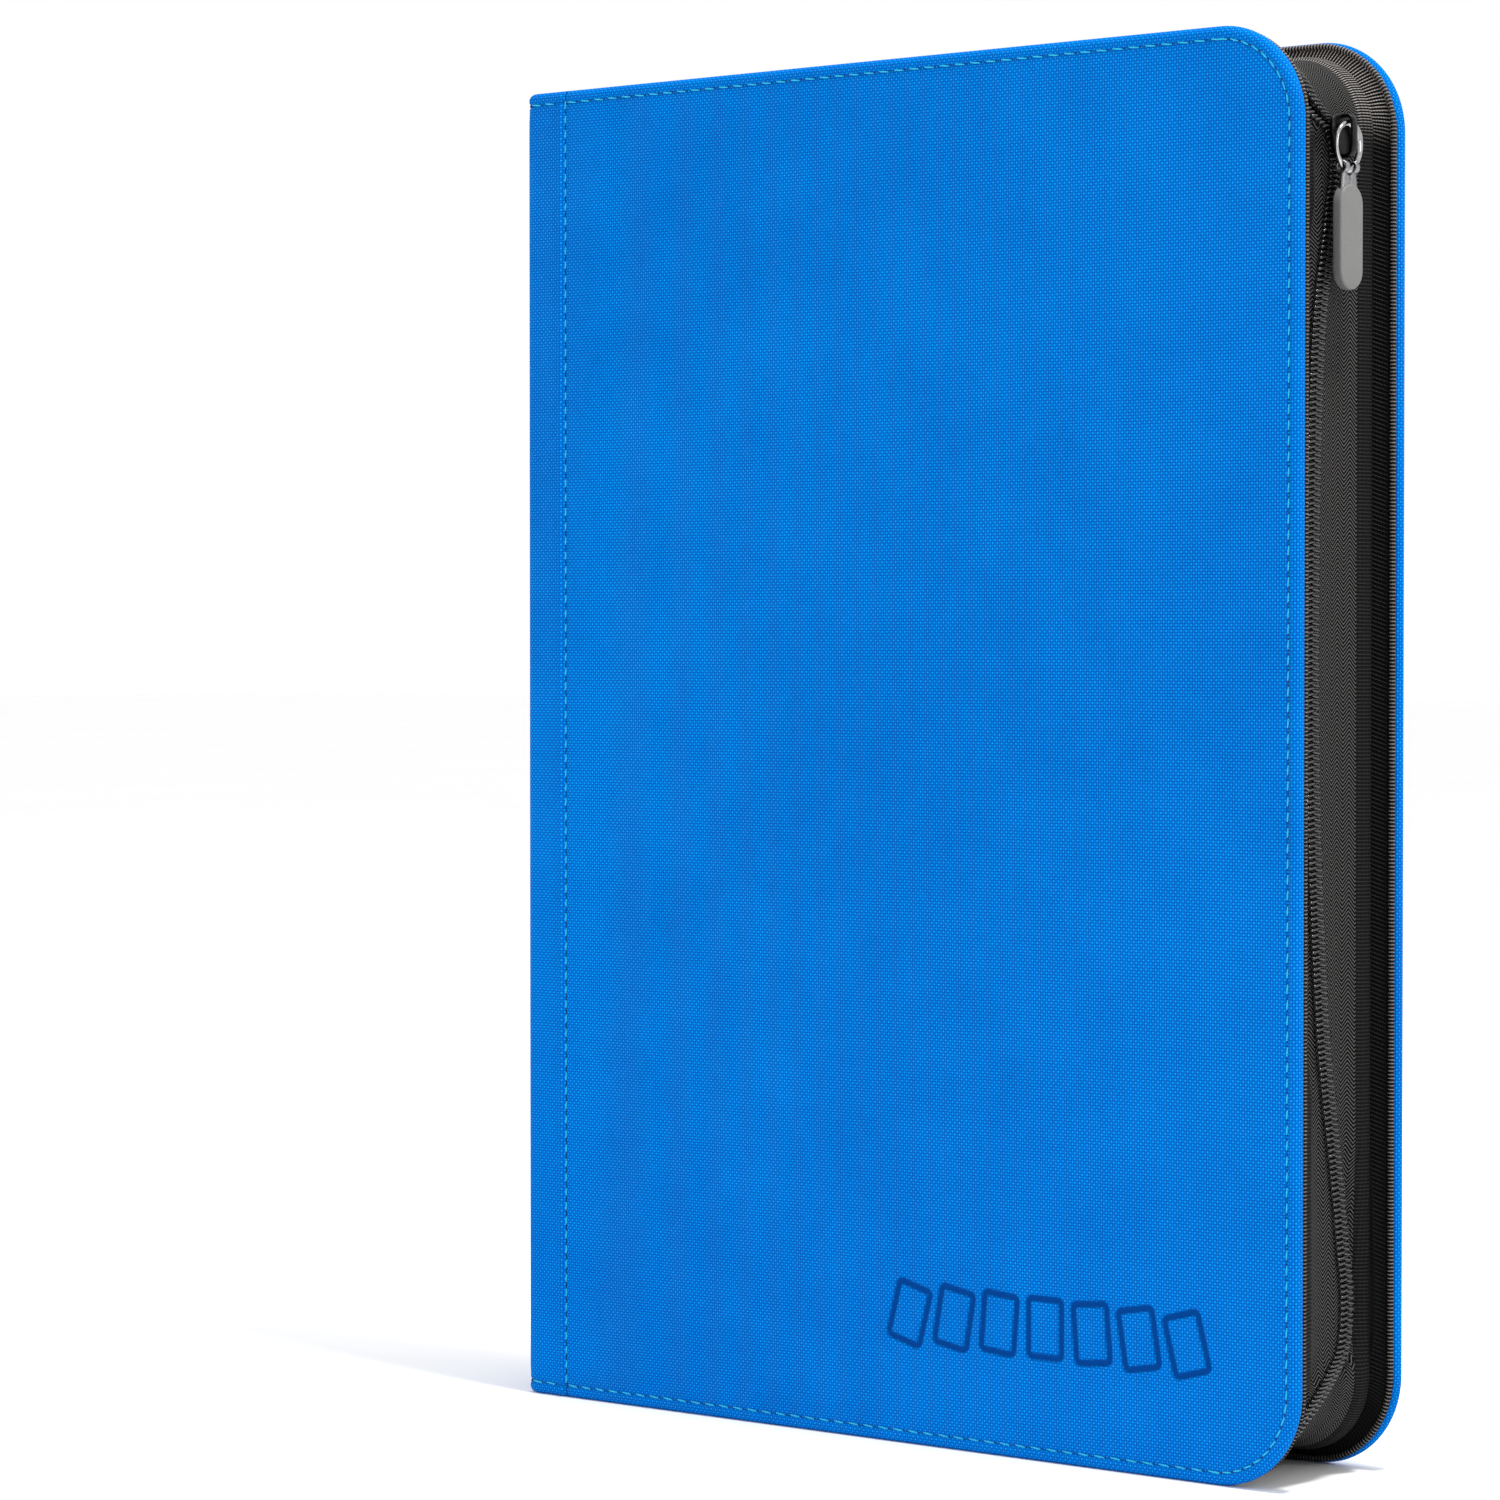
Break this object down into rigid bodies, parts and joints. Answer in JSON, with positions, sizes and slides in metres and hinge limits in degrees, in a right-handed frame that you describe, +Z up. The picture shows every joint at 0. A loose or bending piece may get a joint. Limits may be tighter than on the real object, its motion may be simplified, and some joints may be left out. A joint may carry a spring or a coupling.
{
  "type": "trading card binder",
  "caption": "Zip-up binder with padded fabric covers, a coil zipper with a rubber pull round three edges, and sewn-in pages of card pockets.",
  "frame": {"origin": "middle of the footprint, on the surface that the closed binder stands on", "axes": "+Z up along the spine, +X from the spine to the zipped free edge, -Y out of the front cover"},
  "size_m": [0.2328, 0.0436, 0.325],
  "materials": {
    "blue_fabric": "canvas weave",
    "board": "plain",
    "black_lining": "fine weave",
    "black_gusset": "ribbed",
    "zipper_tape": "herringbone",
    "zipper_coil": "gloss",
    "zipper_metal": "gunmetal",
    "pull_metal": "polished",
    "grey_rubber": "satin",
    "page": "clear film on black sheet"
  },
  "bodies": {
    "spine": {"spine_cover": "blue_fabric", "spine_board": "board", "spine_lining": "black_lining", "page_binding": "black_lining", "spine_top_end": "black_gusset", "spine_bottom_end": "black_gusset"},
    "front_half": {"front_cover": "blue_fabric", "front_board": "board", "front_lining": "black_lining", "front_edge_binding": "black_gusset", "front_gusset": "black_gusset", "front_zipper_tape": "zipper_tape", "front_zipper_coil": "zipper_coil", "front_zipper_stops": "zipper_metal"},
    "back_half": {"back_cover": "blue_fabric", "back_board": "board", "back_lining": "black_lining", "back_edge_binding": "black_gusset", "back_gusset": "black_gusset", "back_zipper_tape": "zipper_tape", "back_zipper_coil": "zipper_coil", "back_zipper_stops": "zipper_metal"},
    "slider": {"slider_body": "zipper_metal", "slider_bridge": "zipper_metal"},
    "ring": {"pull_ring": "pull_metal"},
    "pull": {"pull_link": "pull_metal", "pull_tab": "grey_rubber"},
    "page_01": {"page_01": "page"},
    "page_02": {"page_02": "page"},
    "page_03": {"page_03": "page"},
    "page_04": {"page_04": "page"},
    "page_05": {"page_05": "page"},
    "page_06": {"page_06": "page"},
    "page_07": {"page_07": "page"},
    "page_08": {"page_08": "page"},
    "page_09": {"page_09": "page"},
    "page_10": {"page_10": "page"},
    "page_11": {"page_11": "page"},
    "page_12": {"page_12": "page"},
    "page_13": {"page_13": "page"},
    "page_14": {"page_14": "page"},
    "page_15": {"page_15": "page"},
    "page_16": {"page_16": "page"},
    "page_17": {"page_17": "page"},
    "page_18": {"page_18": "page"},
    "page_19": {"page_19": "page"},
    "page_20": {"page_20": "page"}
  },
  "joints": [
    {"name": "front_hinge", "type": "hinge", "parent": "spine", "child": "front_half", "pos_m": [-0.113, -0.0184, 0], "axis": [0, 0, -1], "range_deg": [0, 90]},
    {"name": "back_hinge", "type": "hinge", "parent": "spine", "child": "back_half", "pos_m": [-0.113, 0.0184, 0], "axis": [0, 0, 1], "range_deg": [0, 90]},
    {"name": "zip_slide", "type": "slide", "parent": "back_half", "child": "slider", "axis": [0, 0, 1], "range_m": [-0.255, 0]},
    {"name": "ring_swing", "type": "hinge", "parent": "slider", "child": "ring", "pos_m": [0.1143, 0, 0.30375], "axis": [0, -1, 0], "range_deg": [0, 150]},
    {"name": "tab_swing", "type": "hinge", "parent": "ring", "child": "pull", "pos_m": [0.1143, 0, 0.29325], "axis": [0, -1, 0], "range_deg": [0, 90]},
    {"name": "page_01_turn", "type": "hinge", "parent": "spine", "child": "page_01", "pos_m": [-0.11205, -0.01745, 0.1625], "axis": [0, 0, -1], "range_deg": [0, 90]},
    {"name": "page_02_turn", "type": "hinge", "parent": "spine", "child": "page_02", "pos_m": [-0.11055, -0.01595, 0.1625], "axis": [0, 0, -1], "range_deg": [0, 90]},
    {"name": "page_03_turn", "type": "hinge", "parent": "spine", "child": "page_03", "pos_m": [-0.10905, -0.01445, 0.1625], "axis": [0, 0, -1], "range_deg": [0, 90]},
    {"name": "page_04_turn", "type": "hinge", "parent": "spine", "child": "page_04", "pos_m": [-0.10755, -0.01295, 0.1625], "axis": [0, 0, -1], "range_deg": [0, 90]},
    {"name": "page_05_turn", "type": "hinge", "parent": "spine", "child": "page_05", "pos_m": [-0.10605, -0.01145, 0.1625], "axis": [0, 0, -1], "range_deg": [0, 90]},
    {"name": "page_06_turn", "type": "hinge", "parent": "spine", "child": "page_06", "pos_m": [-0.10455, -0.00995, 0.1625], "axis": [0, 0, -1], "range_deg": [0, 90]},
    {"name": "page_07_turn", "type": "hinge", "parent": "spine", "child": "page_07", "pos_m": [-0.10305, -0.00845, 0.1625], "axis": [0, 0, -1], "range_deg": [0, 90]},
    {"name": "page_08_turn", "type": "hinge", "parent": "spine", "child": "page_08", "pos_m": [-0.10155, -0.00695, 0.1625], "axis": [0, 0, -1], "range_deg": [0, 90]},
    {"name": "page_09_turn", "type": "hinge", "parent": "spine", "child": "page_09", "pos_m": [-0.10005, -0.00545, 0.1625], "axis": [0, 0, -1], "range_deg": [0, 90]},
    {"name": "page_10_turn", "type": "hinge", "parent": "spine", "child": "page_10", "pos_m": [-0.09855, -0.00395, 0.1625], "axis": [0, 0, -1], "range_deg": [0, 90]},
    {"name": "page_11_turn", "type": "hinge", "parent": "spine", "child": "page_11", "pos_m": [-0.09855, 0.00395, 0.1625], "axis": [0, 0, 1], "range_deg": [0, 90]},
    {"name": "page_12_turn", "type": "hinge", "parent": "spine", "child": "page_12", "pos_m": [-0.10005, 0.00545, 0.1625], "axis": [0, 0, 1], "range_deg": [0, 90]},
    {"name": "page_13_turn", "type": "hinge", "parent": "spine", "child": "page_13", "pos_m": [-0.10155, 0.00695, 0.1625], "axis": [0, 0, 1], "range_deg": [0, 90]},
    {"name": "page_14_turn", "type": "hinge", "parent": "spine", "child": "page_14", "pos_m": [-0.10305, 0.00845, 0.1625], "axis": [0, 0, 1], "range_deg": [0, 90]},
    {"name": "page_15_turn", "type": "hinge", "parent": "spine", "child": "page_15", "pos_m": [-0.10455, 0.00995, 0.1625], "axis": [0, 0, 1], "range_deg": [0, 90]},
    {"name": "page_16_turn", "type": "hinge", "parent": "spine", "child": "page_16", "pos_m": [-0.10605, 0.01145, 0.1625], "axis": [0, 0, 1], "range_deg": [0, 90]},
    {"name": "page_17_turn", "type": "hinge", "parent": "spine", "child": "page_17", "pos_m": [-0.10755, 0.01295, 0.1625], "axis": [0, 0, 1], "range_deg": [0, 90]},
    {"name": "page_18_turn", "type": "hinge", "parent": "spine", "child": "page_18", "pos_m": [-0.10905, 0.01445, 0.1625], "axis": [0, 0, 1], "range_deg": [0, 90]},
    {"name": "page_19_turn", "type": "hinge", "parent": "spine", "child": "page_19", "pos_m": [-0.11055, 0.01595, 0.1625], "axis": [0, 0, 1], "range_deg": [0, 90]},
    {"name": "page_20_turn", "type": "hinge", "parent": "spine", "child": "page_20", "pos_m": [-0.11205, 0.01745, 0.1625], "axis": [0, 0, 1], "range_deg": [0, 90]}
  ],
  "couplings": [
    {"joint": "page_01_turn", "follows": "front_hinge", "ratio": 1},
    {"joint": "page_02_turn", "follows": "front_hinge", "ratio": 1},
    {"joint": "page_03_turn", "follows": "front_hinge", "ratio": 1},
    {"joint": "page_04_turn", "follows": "front_hinge", "ratio": 1},
    {"joint": "page_05_turn", "follows": "front_hinge", "ratio": 1},
    {"joint": "page_06_turn", "follows": "front_hinge", "ratio": 1},
    {"joint": "page_07_turn", "follows": "front_hinge", "ratio": 1},
    {"joint": "page_08_turn", "follows": "front_hinge", "ratio": 1},
    {"joint": "page_09_turn", "follows": "front_hinge", "ratio": 1},
    {"joint": "page_10_turn", "follows": "front_hinge", "ratio": 1},
    {"joint": "page_11_turn", "follows": "back_hinge", "ratio": 1},
    {"joint": "page_12_turn", "follows": "back_hinge", "ratio": 1},
    {"joint": "page_13_turn", "follows": "back_hinge", "ratio": 1},
    {"joint": "page_14_turn", "follows": "back_hinge", "ratio": 1},
    {"joint": "page_15_turn", "follows": "back_hinge", "ratio": 1},
    {"joint": "page_16_turn", "follows": "back_hinge", "ratio": 1},
    {"joint": "page_17_turn", "follows": "back_hinge", "ratio": 1},
    {"joint": "page_18_turn", "follows": "back_hinge", "ratio": 1},
    {"joint": "page_19_turn", "follows": "back_hinge", "ratio": 1},
    {"joint": "page_20_turn", "follows": "back_hinge", "ratio": 1}
  ]
}
